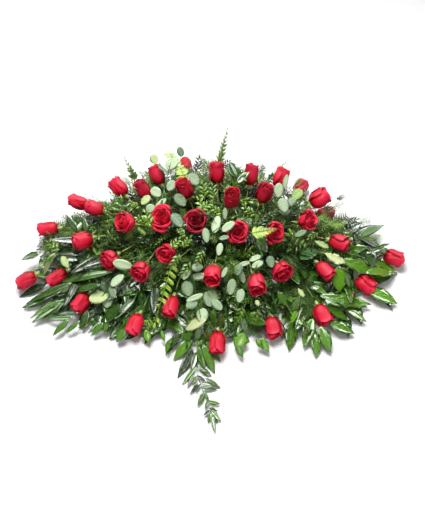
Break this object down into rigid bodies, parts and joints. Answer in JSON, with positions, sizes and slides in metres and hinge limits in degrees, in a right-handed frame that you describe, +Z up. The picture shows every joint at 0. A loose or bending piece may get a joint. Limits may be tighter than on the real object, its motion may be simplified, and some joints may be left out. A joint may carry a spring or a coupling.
{
  "type": "casket spray",
  "caption": "Low mound of red roses and mixed greens for the top of a casket, its stems in a foam block taped to a shallow tray.",
  "frame": {"origin": "middle of the tray's flat underside", "axes": "+X along the spray's length, -Y towards its front, where the sprig trails, +Z up"},
  "size_m": [0.9953, 0.8358, 0.2359],
  "materials": {
    "rose_petal": "velvety crimson rose petals",
    "rose_green": "smooth pale green rose stems and sepals",
    "leaf_green": "dark green leaves with a waxy sheen",
    "silver_green": "grey-green leaves with a chalky bloom",
    "tip_green": "bright yellow-green fern leaflets",
    "spike_green": "mid-green small leaves",
    "foam_green": "wet fine-celled floral foam",
    "tray_green": "moulded dark green plastic",
    "tape_green": "waterproof green anchor tape"
  },
  "bodies": {
    "root": {"bloom_01": "rose_petal", "bloom_02": "rose_petal", "bloom_03": "rose_petal", "bloom_04": "rose_petal", "bloom_05": "rose_petal", "bloom_06": "rose_petal", "bloom_07": "rose_petal", "bloom_08": "rose_petal", "bloom_09": "rose_petal", "bloom_10": "rose_petal", "bloom_11": "rose_petal", "bloom_12": "rose_petal", "bloom_13": "rose_petal", "bloom_14": "rose_petal", "bloom_15": "rose_petal", "bloom_16": "rose_petal", "bloom_17": "rose_petal", "bloom_18": "rose_petal", "bloom_19": "rose_petal", "bloom_20": "rose_petal", "bloom_21": "rose_petal", "bloom_22": "rose_petal", "bloom_23": "rose_petal", "bloom_24": "rose_petal", "bloom_25": "rose_petal", "bloom_26": "rose_petal", "bloom_27": "rose_petal", "bloom_28": "rose_petal", "bloom_29": "rose_petal", "bloom_30": "rose_petal", "bloom_31": "rose_petal", "bloom_32": "rose_petal", "bloom_33": "rose_petal", "bloom_34": "rose_petal", "bloom_35": "rose_petal", "bloom_36": "rose_petal", "bloom_37": "rose_petal", "bloom_38": "rose_petal", "bloom_39": "rose_petal", "bloom_40": "rose_petal", "bloom_41": "rose_petal", "bloom_42": "rose_petal", "eucalyptus_left": "silver_green", "eucalyptus_right": "silver_green", "foam": "foam_green", "greens_back": "leaf_green", "greens_front_left": "leaf_green", "greens_front_right": "leaf_green", "greens_left": "leaf_green", "greens_right": "leaf_green", "myrtle_spikes": "spike_green", "rose_stems_inner_left": "rose_green", "rose_stems_inner_right": "rose_green", "rose_stems_outer_left": "rose_green", "rose_stems_outer_right": "rose_green", "sword_fern_tips": "tip_green", "tape_left": "tape_green", "tape_right": "tape_green", "trailing_ruscus": "leaf_green", "tray": "tray_green"}
  },
  "joints": []
}
